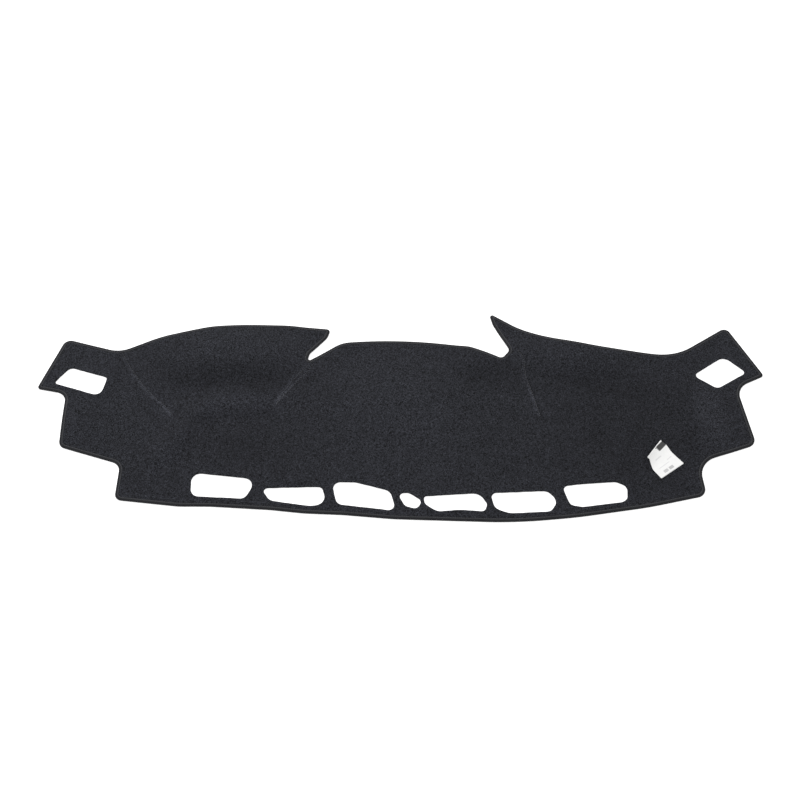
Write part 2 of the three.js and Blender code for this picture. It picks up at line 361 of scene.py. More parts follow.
def fill_with_grid(bm: BMesh, edges: list[BMEdge], pitch: float) -> None:
    """Fills closed lines with a flat sheet that is cut along even lines both ways.

    Args:
        bm: Mesh that holds the lines, in one plane of constant Z.
        edges: The edges of the lines, round the sheet and round its openings.
        pitch: Distance between two lines of the grid.
    """
    bmesh.ops.triangle_fill(
        bm, use_beauty=True, use_dissolve=False, edges=edges, normal=(0, 0, 1),
    )
    for axis in (0, 1):
        low = min(vert.co[axis] for vert in bm.verts)
        high = max(vert.co[axis] for vert in bm.verts)
        across = Vector((1 - axis, axis, 0))
        for line in range(math.ceil(low / pitch), math.floor(high / pitch) + 1):
            bmesh.ops.bisect_plane(
                bm, geom=bm.verts[:] + bm.edges[:] + bm.faces[:], dist=WELD,
                plane_co=across * (line * pitch), plane_no=across,
            )
    diagonals = [
        edge for edge in bm.edges
        if not edge.is_boundary
        and min(abs(side) for side in (edge.verts[0].co - edge.verts[1].co).xy) > WELD
    ]
    bmesh.ops.dissolve_edges(bm, edges=diagonals, use_verts=False)
    left_over = [
        vert for vert in bm.verts if not vert.is_boundary and len(vert.link_edges) == 2
    ]
    bmesh.ops.dissolve_verts(bm, verts=left_over)


@dataclass
class Felt:
    """The cover itself: one sheet of carpet felt with raw cut openings and three sewn darts."""

    pattern: Pattern
    lie: Lie
    thickness: float = 0.004
    pitch: float = 0.0045
    edge_step: float = 0.004
    flat: tuple[float, float] = (1.458, 0.489)
    flat_area: float = 0.49
    rim_rings: tuple[tuple[float, float], ...] = (
        (0.0075, 0.004), (0.0066, 0.0039), (0.006, 0.0034), (0.0012, 0.0033), (0.001, 0.002),
    )
    opening_rings: tuple[tuple[float, float], ...] = (
        (0.0014, 0.004), (0.0006, 0.00385), (0.00015, 0.0034), (0.0, 0.0028), (0.0002, 0.002),
    )
    opening_wave: float = 0.0005
    opening_wave_length: float = 0.011
    seams: tuple[tuple[Point, ...], ...] = (
        (
            (-0.57, 0.15), (-0.558, 0.128), (-0.545, 0.106), (-0.529, 0.083),
            (-0.513, 0.061), (-0.493, 0.039), (-0.476, 0.024), (-0.453, -0.004),
        ),
        ((-0.188, 0.117), (-0.2, 0.103), (-0.221, 0.075), (-0.2405, 0.0405), (-0.249, 0.019)),
        ((-0.178, 0.122), (-0.194, 0.095), (-0.214, 0.071), (-0.243, 0.029), (-0.249, 0.019)),
        (
            (0.238, 0.152), (0.247, 0.134), (0.251, 0.091), (0.258, 0.064),
            (0.264, 0.04), (0.275, -0.007),
        ),
    )
    seam_depth: float = 0.0009
    seam_width: float = 0.0016
    seam_fading_points: int = 10
    seam_end_share: float = 0.2
    # Share of the seams' painted light and shade at their start; it grows towards their end.
    seam_light_start_share: float = 0.15
    lip_away: float = 0.0032
    lip_share: float = 0.25
    # Painted shade on one side of the seams and painted highlight on the other: its share, width
    # and shift.
    seam_shade_share: float = 0.4
    seam_highlight_width: float = 0.003
    seam_light_shade_shift: Point = (0.0022, 0.001)
    pressed_reach: float = 0.03
    seam_lines: tuple[float, ...] = (-0.0036, -0.0018, -0.0008, 0.0, 0.0008, 0.0018, 0.0036)
    cut_worn_width: float = 0.007
    seam_paths: list[list[Vector]] = field(default_factory=list)

    def __post_init__(self) -> None:
        """Works the seams out in the frame."""
        fine = 0.001
        self.seam_paths = [self.lie.in_frame(smooth_path(seam, fine)) for seam in self.seams]

    def opening_loop(self, corners: tuple[Corner, ...], away: float) -> list[Vector]:
        """Line round an opening, as wavy as a die leaves it.

        Args:
            corners: The opening's corners, clockwise.
            away: Distance from the cut, into the felt.

        Returns:
            Points in the frame.
        """
        wavy = []
        elsewhere = Vector((0, 0, 9))
        cut = rounded_loop(corners, 0.0, self.edge_step)
        for point, on_cut in zip(rounded_loop(corners, -away, self.edge_step), cut):
            place = point + self.lie.shift
            spot = on_cut.to_3d() / self.opening_wave_length
            wobble = Vector((noise.noise(spot), noise.noise(spot + elsewhere)))
            wavy.append(place + wobble * self.opening_wave)
        return wavy

    def flat_sheet(self) -> BMesh:
        """The top of the felt inside the tape and short of the cut edges, flat and gridded."""
        bm = bmesh.new()
        start, level = self.rim_rings[0]
        rim = self.lie.in_frame(rounded_loop(self.pattern.rim, -start, self.edge_step))
        edges = closed_ring(bm, rim, level)
        away = self.opening_rings[0][0]
        for corners in self.pattern.openings:
            edges += closed_ring(bm, self.opening_loop(corners, away), level)
        fill_with_grid(bm, edges, self.pitch)
        return bm

    def cut_seams(self, bm: BMesh) -> None:
        """Cuts lines along each seam, so that its groove is well drawn.

        Args:
            bm: The flat sheet.
        """
        reach = max(self.seam_lines) + self.pitch
        every = 12
        seams = nearest_of(point for path in self.seam_paths for point in path)
        close = {
            face for face in bm.faces
            if distance(seams, face.calc_center_median().xy) < 2 * reach
        }
        for path in self.seam_paths:
            marks = path[::every] + [path[-1]]
            for start, end in zip(marks, marks[1:]):
                along = (end - start).normalized()
                across = Vector((-along.y, along.x))
                near = set()
                length = (end - start).length
                for face in close:
                    arm = face.calc_center_median().xy - start
                    beside = abs(arm.dot(across)) < reach
                    if beside and -self.pitch < 2 * arm.dot(along) < 2 * length:
                        near.add(face)
                close -= near
                geom = near.union(*(face.edges for face in near), *(face.verts for face in near))
                for offset in self.seam_lines:
                    geom = bmesh.ops.bisect_plane(
                        bm, geom=list(geom), dist=WELD,
                        plane_co=(start + across * offset).to_3d(), plane_no=across.to_3d(),
                    )["geom"]
                close.update(item for item in geom if isinstance(item, BMFace))

    def draw_edge(
        self, bm: BMesh, rings: tuple[tuple[float, float], ...], tree: KDTree,
    ) -> None:
        """Draws the open edge of the sheet outwards and down in rings, towards a line of points.

        Args:
            bm: The sheet.
            rings: Distance from the line and level of each ring. The first is the sheet's own
                edge.
            tree: The line of points, which marks the edges that are drawn too.
        """
        start = rings[0][0]
        own = start * 1.6
        edges = [
            edge for edge in bm.edges
            if edge.is_boundary and all(distance(tree, vert.co.xy) < own for vert in edge.verts)
        ]
        arms = {}
        for away, level in rings[1:]:
            grown = bmesh.ops.extrude_edge_only(bm, edges=edges)["geom"]
            for vert in (item for item in grown if isinstance(item, BMVert)):
                key = tuple(round(side, 7) for side in vert.co)
                line_point, arm = arms.pop(key, (None, None))
                if arm is None:
                    line_point = tree.find(vert.co.xy.to_3d())[0].xy
                    arm = (vert.co.xy - line_point) / start
                vert.co = (line_point + arm * away).to_3d() + Vector((0, 0, level))
                arms[tuple(round(side, 7) for side in vert.co)] = (line_point, arm)
            edges = [item for item in grown if isinstance(item, BMEdge) and item.is_boundary]

    def groove(self, place: Vector, trees: list[tuple[KDTree, int]]) -> tuple[float, float]:
        """Depth of the seams' grooves at a place, and the light and shade painted beside them.

        Args:
            place: Where, in the frame.
            trees: Nearest-point trees of the seams with the number of their points.

        Returns:
            Depth of the groove there, and how much painted highlight lightens the felt beside it,
            or how much painted shade darkens it below 0.
        """
        depth = 0.0
        shown = 0.0
        shift = Vector(self.seam_light_shade_shift)
        for tree, count in trees:
            _, index, away = tree.find(place.to_3d())
            from_end = min(index, count - 1 - index) / self.seam_fading_points
            ends = smooth_step(from_end + self.seam_end_share)
            deepest = self.seam_depth * ends
            lip = self.lip_share * deepest * bell(away - self.lip_away, self.seam_width)
            depth = max(depth, deepest * bell(away, self.seam_width)) - lip
            # Painted highlight on one side of the seam and painted shade on the other, stronger
            # towards its end.
            light = bell(distance(tree, place + shift), self.seam_highlight_width)
            dark = bell(distance(tree, place - shift), self.seam_width)
            tone = self.seam_light_start_share + (1 - self.seam_light_start_share) * index / count
            shown = max(shown, ends * tone * light) - self.seam_shade_share * ends * tone * dark
        return depth, shown

    def build(self, felt: Material, backing: Material) -> Object:
        """Makes the felt.

        Args:
            felt: Finish of the pile side and the cut edges.
            backing: Finish of the underside.

        Returns:
            The piece.
        """
        bm = self.flat_sheet()
        self.cut_seams(bm)
        fine = 0.0005
        rim_line = self.lie.in_frame(rounded_loop(self.pattern.rim, 0.0, fine))
        self.draw_edge(bm, self.rim_rings, nearest_of(rim_line))
        cuts = nearest_of(
            point for corners in self.pattern.openings for point in self.fine_cut(corners)
        )
        self.draw_edge(bm, self.opening_rings, cuts)
        middle = Matrix.Translation((0, 0, self.thickness / 2))
        bmesh.ops.mirror(
            bm, geom=bm.verts[:] + bm.edges[:] + bm.faces[:], matrix=middle.inverted(),
            merge_dist=WELD * 10, axis="Z",
        )
        bmesh.ops.remove_doubles(bm, verts=bm.verts, dist=WELD * 10)
        bmesh.ops.recalc_face_normals(bm, faces=bm.faces)
        facing_down = -0.9
        for face in bm.faces:
            face.material_index = int(face.normal.z < facing_down)
        self.lay_down(bm, cuts)
        return new_object("cover_felt", bm, felt, backing)

    def fine_cut(self, corners: tuple[Corner, ...]) -> list[Vector]:
        """Closely spaced points on the cut edge of an opening."""
        parts = 8
        loop = self.opening_loop(corners, 0.0)
        return [
            start.lerp(end, part / parts)
            for start, end in zip(loop, loop[1:] + loop[:1])
            for part in range(parts)
        ]

    def lay_down(self, bm: BMesh, cuts: KDTree) -> None:
        """Gives the flat felt its swells and grooves, and marks what the finish shows, among it the
        painted light and shade beside the seams.

        Args:
            bm: The felt, which gets the marks "seam", "cut" and "windscreen".
            cuts: Points on the cut edges of the openings.
        """
        seam_light_shade_mark = bm.verts.layers.float.new("seam")
        cut_mark = bm.verts.layers.float.new("cut")
        edge_mark = bm.verts.layers.float.new("windscreen")
        rim = rounded_loop(self.pattern.rim, 0.0, 0.001)
        below = self.pattern.near_rim_below
        near_edge = nearest_of(self.lie.in_frame(point for point in rim if point.y < below))
        trees = [(nearest_of(path), len(path)) for path in self.seam_paths]
        for vert in bm.verts:
            place = vert.co.xy
            depth, shown = self.groove(place, trees)
            if vert.co.z > self.thickness * 0.9:
                vert.co.z -= depth
                # The seam mark holds painted light and shade, not the felt's own colour.
                vert[seam_light_shade_mark] = shown
            vert[cut_mark] = 1 - smooth_step(distance(cuts, place) / self.cut_worn_width)
            vert[edge_mark] = min(distance(near_edge, place), self.pressed_reach)
            vert.co.z += self.lie.height(place)


@dataclass
class Binding:
    """Woven tape folded over the rim, with one row of lockstitches near its inner edge."""

    pattern: Pattern
    lie: Lie
    step: float = 0.005
    section: tuple[tuple[float, float], ...] = (
        (-0.0064, 0.00375), (-0.0062, 0.00412), (-0.0056, 0.00434), (-0.0049, 0.0042),
        (-0.0042, 0.00434), (-0.003, 0.00446), (-0.0016, 0.0044), (-0.0005, 0.00408),
        (0.00025, 0.00345), (0.00075, 0.0027), (0.0009, 0.002), (0.00075, 0.00125),
        (0.00025, 0.0006), (-0.0005, 0.0002), (-0.0016, 0.00005), (-0.0062, 0.00005),
        (-0.0065, 0.00035), (-0.0062, 0.00062), (-0.0016, 0.00066), (-0.0004, 0.00095),
        (0.0002, 0.0015), (0.0003, 0.002), (0.0002, 0.0026), (-0.0005, 0.00335),
        (-0.0017, 0.00378), (-0.004, 0.00382), (-0.0058, 0.00366),
    )
    stitch_inset: float = 0.0049
    stitch_level: float = 0.0043
    stitch_pitch: float = 0.0042

    def build(self, tape: Material) -> Object:
        """Wraps a long strip of tape round the rim.

        Args:
            tape: Finish of the tape.

        Returns:
            The piece. Its UV map runs along the tape and round its section, in metres.
        """
        rings = [rounded_loop(self.pattern.rim, grow, self.step) for grow, _ in self.section]
        around = len(self.section)
        along = len(rings[0])
        bm = bmesh.new()
        bm.loops.layers.uv.new("tape")
        bmesh.ops.create_grid(bm, x_segments=along, y_segments=around, size=0.5, calc_uvs=True)
        length = sum((a - b).length for a, b in zip(rings[0], rings[0][1:] + rings[0][:1]))
        sides = zip(self.section, self.section[1:] + self.section[:1])
        girth = sum(math.dist(a, b) for a, b in sides)
        weave = bm.loops.layers.uv.active
        for face in bm.faces:
            for loop in face.loops:
                loop[weave].uv = ((loop.vert.co.x + 0.5) * length, (loop.vert.co.y + 0.5) * girth)
        for vert in bm.verts:
            column = round((vert.co.x + 0.5) * along) % along
            row = round((vert.co.y + 0.5) * around) % around
            place = rings[row][column] + self.lie.shift
            level = self.section[row][1]
            vert.co = (place.x, place.y, level + self.lie.height(place))
        bmesh.ops.remove_doubles(bm, verts=bm.verts, dist=WELD)
        bmesh.ops.recalc_face_normals(bm, faces=bm.faces)
        return new_object("rim_tape", bm, tape)

    def stitches(self, thread: Material) -> Object:
        """Makes the row of stitches that holds the tape."""
        loop = rounded_loop(self.pattern.rim, -self.stitch_inset, 0.001)
        path = self.lie.in_frame(loop + loop[:1])
        row = StitchRow(self.lie, self.stitch_level, self.stitch_pitch)
        bm = bmesh.new()
        row.sew(bm, path)
        return new_object("rim_stitches", bm, thread)


@dataclass
class StitchRow:
    """A row of small thread stitches that lie on the cloth, each dipping in at its ends."""

    lie: Lie
    level: float
    pitch: float
    length_share: float = 0.72
    half_width: float = 0.00032
    loose: float = 0.12

    def sew(self, bm: BMesh, path: list[Vector]) -> None:
        """Adds stitches along a path in the frame.

        Args:
            bm: Mesh that takes the stitches.
            path: Closely spaced points.
        """
        draw = random.Random(len(path))
        stitch = bpy.data.meshes.new("stitch")
        shape = bmesh.new()
        bmesh.ops.create_uvsphere(
            shape, u_segments=6, v_segments=5, radius=1.0,
            matrix=Matrix.Rotation(math.pi / 2, 4, "Y"),
        )
        lengths = [0.0]
        for start, end in zip(path, path[1:]):
            lengths.append(lengths[-1] + (end - start).length)
        count = int(lengths[-1] / self.pitch)
        index = 0
        for number in range(count):
            goal = (number + 0.5) * lengths[-1] / count
            while lengths[index + 1] < goal:
                index += 1
            span = lengths[index + 1] - lengths[index]
            place = path[index].lerp(path[index + 1], (goal - lengths[index]) / span)
            ahead = path[min(index + 3, len(path) - 1)] - path[max(index - 2, 0)]
            up = self.lie.slope(place)
            along = (ahead.to_3d() - up * ahead.to_3d().dot(up)).normalized()
            along.rotate(Matrix.Rotation(draw.uniform(-self.loose, self.loose), 3, up))
            side = up.cross(along)
            centre = place.to_3d() + Vector((0, 0, self.level + self.lie.height(place)))
            turn = Matrix((along, side, up)).transposed().to_4x4()
            half = self.pitch * self.length_share / 2
            size = Matrix.Diagonal((half, self.half_width, self.half_width, 1))
            laid = Matrix.Translation(centre) @ turn @ size
            bmesh.ops.transform(shape, matrix=laid, verts=shape.verts)
            shape.to_mesh(stitch)
            bm.from_mesh(stitch)
            bmesh.ops.transform(shape, matrix=laid.inverted(), verts=shape.verts)
        shape.free()
        bpy.data.meshes.remove(stitch)


@dataclass
class DartThread:
    """The thread that shows in the darts, sunk in the pile."""

    felt: Felt
    level: float = 0.0036
    pitch: float = 0.0046

    def build(self, thread: Material) -> Object:
        """Sews every seam."""
        bm = bmesh.new()
        row = StitchRow(self.felt.lie, self.level, self.pitch, length_share=0.6, half_width=0.00034)
        for path in self.felt.seam_paths:
            row.sew(bm, path)
        return new_object("dart_stitches", bm, thread)


@dataclass
class Ticket:
    """White paper ticket that lies on the felt and curls up at its far end.

    Its own drawing has the near edge on the x axis.
    """

    lie: Lie
    felt_level: float
    gap: float = 0.0003
    width: float = 0.058
    long_side: float = 0.065
    short_side: float = 0.048
    thickness: float = 0.00025
    place: Point = (0.5235, -0.134)
    turn: float = 36
    flat_length: float = 0.024
    lift: float = 0.012
    low_lift: float = 0.004
    notch: float = 0.007
    hollow: float = 0.002
    corner: float = 0.0015
    buckle: float = 0.0008
    edge_step: float = 0.0015
    pitch: float = 0.002

    @property
    def plan(self) -> list[Corner]:
        """Corners of the cut paper, with a slightly hollow long side and a buckled short one."""
        half = self.width / 2
        return [
            (-half, 0, self.corner), (half, 0, self.corner),
            (half - self.hollow, self.long_side / 2, self.long_side),
            (half, self.long_side - 2 * self.notch, self.notch),
            (half - self.notch / 2, self.long_side, self.corner),
            (self.notch / 2 - half, self.short_side, self.corner),
            (self.notch - half, self.short_side - self.notch / 2, self.corner),
            (-half, self.short_side / 2, self.short_side / 2),
        ]

    def curl(self, x: float, y: float) -> float:
        """Height of the paper over the felt, more at its left corner than at its right one."""
        across = x / self.width + 0.5
        far_edge = self.short_side + (self.long_side - self.short_side) * across
        share = max(0.0, y - self.flat_length) / (far_edge - self.flat_length)
        ripple = self.buckle * share * math.sin(x * 160 + y * 50) ** 2
        return (self.lift + (self.low_lift - self.lift) * across) * share**2 + ripple

    def build(self, paper: Material) -> Object:
        """Cuts the paper, gives it its curl and lays it on the felt.

        Args:
            paper: Finish of the ticket. Its UV map is the flat paper, in metres.

        Returns:
            The piece.
        """
        bm = bmesh.new()
        edges = closed_ring(bm, rounded_loop(self.plan, 0.0, self.edge_step), 0.0)
        fill_with_grid(bm, edges, self.pitch)
        grown = bmesh.ops.extrude_face_region(bm, geom=bm.faces[:])["geom"]
        top = [item for item in grown if isinstance(item, BMVert)]
        bmesh.ops.translate(bm, verts=top, vec=(0, 0, self.thickness))
        bmesh.ops.recalc_face_normals(bm, faces=bm.faces)
        print_map = bm.loops.layers.uv.new("ticket")
        for face in bm.faces:
            for loop in face.loops:
                loop[print_map].uv = loop.vert.co.xy
        for vert in bm.verts:
            vert.co.z += self.curl(vert.co.x, vert.co.y)
        where = Vector(self.place) + self.lie.shift
        seat = self.felt_level + self.gap + self.lie.height(where)
        turn = Matrix.Rotation(math.radians(self.turn), 4, "Z")
        bmesh.ops.transform(bm, verts=bm.verts, matrix=Matrix.Translation((*where, seat)) @ turn)
        return new_object("paper_ticket", bm, paper)


class Nodes:
    """Short way to add nodes to a tree and wire them."""

    def __init__(self, tree: NodeTree) -> None:
        """Works on one tree.

        Args:
            tree: The tree that takes the nodes.
        """
        self.tree = tree

    def feed(self, node: Node, inputs: dict) -> Node:
        """Fills a node's sockets.

        Args:
            node: The node.
            inputs: Socket name or number to a constant or to the socket that feeds it.

        Returns:
            The same node.
        """
        for name, value in inputs.items():
            if isinstance(value, NodeSocket):
                self.tree.links.new(value, node.inputs[name])
            else:
                node.inputs[name].default_value = value
        return node

    def add(self, kind: str, inputs: dict | None = None, **settings: object) -> Node:
        """Adds a node.

        Args:
            kind: Type of the node without ShaderNode.
            inputs: What its sockets get, as feed takes it.
            settings: The node's own properties.

        Returns:
            The node.
        """
        node = self.tree.nodes.new(f"ShaderNode{kind}")
        for name, value in settings.items():
            setattr(node, name, value)
        return self.feed(node, inputs or {})

    def math(self, operation: str, *values: object) -> NodeSocket:
        """Adds a Math node.

        Args:
            operation: What it works out.
            values: One to three numbers or sockets.

        Returns:
            Its result.
        """
        return self.add("Math", dict(enumerate(values)), operation=operation).outputs[0]

    def group(self, tree: NodeTree, inputs: dict) -> Node:
        """Places a node group.

        Args:
            tree: The group.
            inputs: What its sockets get, as feed takes it.

        Returns:
            The node that holds the group.
        """
        return self.add("Group", inputs, node_tree=tree)


class Effects:
    """Node groups that several finishes share."""

    def __init__(self) -> None:
        """Builds every group once."""
        self.pile = self.new_group(
            "fibre_pile", ("Vector",), ("Size", "Curl"), ("Tone", "Height"), self.fill_pile,
        )
        self.tone = self.new_group(
            "soft_tone", ("Vector",), ("Size", "Amount"), ("Factor",), self.fill_tone,
        )
        self.patch = self.new_group(
            "soft_patch", ("Vector", "Centre", "Half"), ("Turn", "Softness", "Squareness"),
            ("Mask",), self.fill_patch,
        )
        self.line = self.new_group(
            "soft_line", (), ("Value", "Middle", "Half"), ("Mask",), self.fill_line,
        )

    def new_group(
        self, name: str, vectors: tuple[str, ...], plain: tuple[str, ...],
        outputs: tuple[str, ...], fill: Callable[[Nodes, Node, Node], None],
    ) -> NodeTree:
        """Makes an empty group with sockets and fills it.

        Args:
            name: Name of the group.
            vectors: Names of its vector inputs.
            plain: Names of its inputs that are single values.
            outputs: Names of its outputs, all single values.
            fill: Method that adds the nodes between the group's ends.

        Returns:
            The group.
        """
        tree = bpy.data.node_groups.new(name, "ShaderNodeTree")
        sockets = [(socket, "INPUT", "NodeSocketVector") for socket in vectors]
        sockets += [(socket, "INPUT", "NodeSocketFloat") for socket in plain]
        sockets += [(socket, "OUTPUT", "NodeSocketFloat") for socket in outputs]
        for socket, side, kind in sockets:
            tree.interface.new_socket(socket, in_out=side, socket_type=kind)
        start = tree.nodes.new("NodeGroupInput")
        end = tree.nodes.new("NodeGroupOutput")
        fill(Nodes(tree), start, end)
        return tree

    def soft_line(
        self, nodes: Nodes, value: NodeSocket, middle: float, half_width: float,
    ) -> NodeSocket:
        """Places the soft line group.

        Args:
            nodes: The finish's nodes.
            value: What the line is drawn along.
            middle: The value on the line.
            half_width: How soon the line fades.

        Returns:
            1 where the value is the middle, 0 well away from it.
        """
        inputs = {"Value": value, "Middle": middle, "Half": half_width}
        return nodes.group(self.line, inputs).outputs["Mask"]

    def soft_patch(
        self, nodes: Nodes, place: NodeSocket, spot: list[float], softness: float,
        squareness: float,
    ) -> NodeSocket:
        """Places the soft patch group.

        Args:
            nodes: The finish's nodes.
            place: Where a point of the surface lies.
            spot: The patch's x and y, its half sizes and its turn in degrees.
            softness: Share of its size over which it fades.
            squareness: 2 for an oval, more for a rounded box.

        Returns:
            1 in the patch, 0 outside.
        """
        x, y, half_x, half_y, turn = spot
        inputs = {
            "Vector": place, "Centre": (x, y, 0), "Turn": math.radians(-turn),
            "Half": (half_x, half_y, 1), "Softness": softness, "Squareness": squareness,
        }
        return nodes.group(self.patch, inputs).outputs["Mask"]

    def fill_pile(self, nodes: Nodes, start: Node, end: Node) -> None:
        """Tangled fibre tips: curled tufts, and single fibres on them."""
        place = start.outputs["Vector"]
        scale = nodes.math("DIVIDE", 1.0, start.outputs["Size"])
        tufts = nodes.add(
            "TexNoise",
            {
                "Vector": place, "Scale": scale, "Detail": 2.0, "Roughness": 0.6,
                "Distortion": start.outputs["Curl"],
            },
        ).outputs[0]
        cells = nodes.add(
            "TexVoronoi",
            {"Vector": place, "Scale": nodes.math("MULTIPLY", scale, 1.6), "Smoothness": 0.6},
            feature="SMOOTH_F1",
        ).outputs["Distance"]
        fibres = nodes.add(
            "TexNoise",
            {
                "Vector": place, "Scale": nodes.math("MULTIPLY", scale, 6.0),
                "Detail": 2.0, "Roughness": 0.7, "Distortion": 1.5,
            },
        ).outputs[0]
        height = nodes.math("SUBTRACT", nodes.math("ADD", tufts, tufts), cells)
        height = nodes.math("MULTIPLY_ADD", fibres, 0.35, height)
        tone = nodes.add(
            "MapRange", {"Value": height, "From Min": 0.15, "From Max": 1.35}, clamp=True,
        ).outputs[0]
        nodes.feed(end, {"Height": height, "Tone": tone})

    def fill_tone(self, nodes: Nodes, start: Node, end: Node) -> None:
        """Slow light and dark, as a factor about 1."""
        cloud = nodes.add(
            "TexNoise",
            {
                "Vector": start.outputs["Vector"], "Detail": 2.0, "Roughness": 0.5,
                "Scale": nodes.math("DIVIDE", 1.0, start.outputs["Size"]),
            },
        ).outputs[0]
        swing = nodes.math("SUBTRACT", cloud, 0.5)
        factor = nodes.math("MULTIPLY_ADD", swing, start.outputs["Amount"], 1.0)
        nodes.feed(end, {"Factor": factor})

    def fill_patch(self, nodes: Nodes, start: Node, end: Node) -> None:
        """A turned rounded patch, 1 inside and 0 outside, with a soft edge."""
        given = start.outputs
        moved = nodes.add(
            "VectorMath", {0: given["Vector"], 1: given["Centre"]}, operation="SUBTRACT",
        ).outputs[0]
        turned = nodes.add(
            "VectorRotate", {"Vector": moved, "Angle": given["Turn"]}, rotation_type="Z_AXIS",
        ).outputs[0]
        shares = nodes.add(
            "VectorMath", {0: turned, 1: given["Half"]}, operation="DIVIDE",
        ).outputs[0]
        sides = nodes.add("SeparateXYZ", {0: shares})
        powers = [
            nodes.math("POWER", nodes.math("ABSOLUTE", sides.outputs[axis]), given["Squareness"])
            for axis in (0, 1)
        ]
        root = nodes.math("DIVIDE", 1.0, given["Squareness"])
        reach = nodes.math("POWER", nodes.math("ADD", *powers), root)
        mask = nodes.add(
            "MapRange",
            {
                "Value": reach, "To Min": 1.0, "To Max": 0.0,
                "From Min": nodes.math("SUBTRACT", 1.0, given["Softness"]),
                "From Max": nodes.math("ADD", 1.0, given["Softness"]),
            },
            interpolation_type="SMOOTHSTEP",
        ).outputs[0]
        nodes.feed(end, {"Mask": mask})

    def fill_line(self, nodes: Nodes, start: Node, end: Node) -> None:
        """A soft line where a value is near its middle."""
        away = nodes.math("SUBTRACT", start.outputs["Value"], start.outputs["Middle"])
        share = nodes.math("POWER", nodes.math("DIVIDE", away, start.outputs["Half"]), 2.0)
        mask = nodes.math("EXPONENT", nodes.math("MULTIPLY", share, -1.0))
        nodes.feed(end, {"Mask": mask})


@dataclass(frozen=True)
class Finish:
    """What every finish shares: a colour, fibres that make it lighter and darker, and clouds.

    The fibres have a size and a curl, the clouds a size and an amount, and the bump a strength
    and a depth. Sizes and depths are in metres.
    """

    name: str
    effects: Effects
    colour: tuple[float, float, float] = (0.5, 0.5, 0.5)
    pile: tuple[float, float] = (0.001, 0.5)
    contrast: float = 0.0
    darkest: float = 0.1
    clouds: tuple[float, float] = (0.02, 0.5)
    bump: tuple[float, float] = (0.5, 0.0001)
    roughness: float = 0.5
    specular: float = 0.5
    sheen: float = 0.0
    sheen_roughness: float = 0.5

    def build(self) -> Material:
        """Makes the material.

        Returns:
            The material.
        """
        material = bpy.data.materials.new(self.name)
        material.use_nodes = True
        nodes = Nodes(material.node_tree)
        colour, height = self.look(nodes, nodes.add("TexCoord").outputs["Object"])
        strength, depth = self.bump
        bump = nodes.add("Bump", {"Strength": strength, "Distance": depth, "Height": height})
        nodes.feed(
            material.node_tree.nodes["Principled BSDF"],
            {
                "Base Color": colour, "Roughness": self.roughness, "Normal": bump.outputs[0],
                "Specular IOR Level": self.specular, "Sheen Weight": self.sheen,
                "Sheen Roughness": self.sheen_roughness,
            },
        )
        return material

    def look(self, nodes: Nodes, place: NodeSocket) -> tuple[NodeSocket, NodeSocket]:
        """Colour and height of the surface. A finish with more than fibres has its own.

        Args:
            nodes: The material's nodes.
            place: Where a point of the surface lies on the object.

        Returns:
            The colour and the height.
        """
        shade, height = self.fibres(nodes, place)
        return self.scaled(nodes, shade), height

    def fibres(self, nodes: Nodes, place: NodeSocket) -> tuple[NodeSocket, NodeSocket]:
        """The finish's fibres and clouds.

        Args:
            nodes: The material's nodes.
            place: Where a point of the surface lies on the object.

        Returns:
            Their light and dark as a factor about 1, and the height of the fibres.
        """
        size, curl = self.pile
        pile = nodes.group(self.effects.pile, {"Vector": place, "Size": size, "Curl": curl})
        swing = nodes.math("SUBTRACT", pile.outputs["Tone"], 0.5)
        speckle = nodes.math("MULTIPLY_ADD", swing, self.contrast, 1.0)
        speckle = nodes.math("MAXIMUM", speckle, self.darkest)
        size, amount = self.clouds
        clouds = nodes.group(self.effects.tone, {"Vector": place, "Size": size, "Amount": amount})
        shade = nodes.math("MULTIPLY", speckle, clouds.outputs["Factor"])
        return shade, pile.outputs["Height"]

    def scaled(self, nodes: Nodes, *factors: NodeSocket) -> NodeSocket:
        """The finish's colour times some factors."""
        result = self.colour
        for factor in factors:
            scaling = nodes.add("VectorMath", {0: result, "Scale": factor}, operation="SCALE")
            result = scaling.outputs[0]
        return result

    def mixed(
        self, nodes: Nodes, share: NodeSocket, under: NodeSocket, over: tuple[float, ...],
    ) -> NodeSocket:
        """One colour over another.

        Args:
            nodes: The material's nodes.
            share: How much of the upper colour shows.
            under: The lower colour.
            over: The upper colour.

        Returns:
            The mixed colour.
        """
        return nodes.add("Mix", {0: share, 6: under, 7: (*over, 1)}, data_type="RGBA").outputs[2]


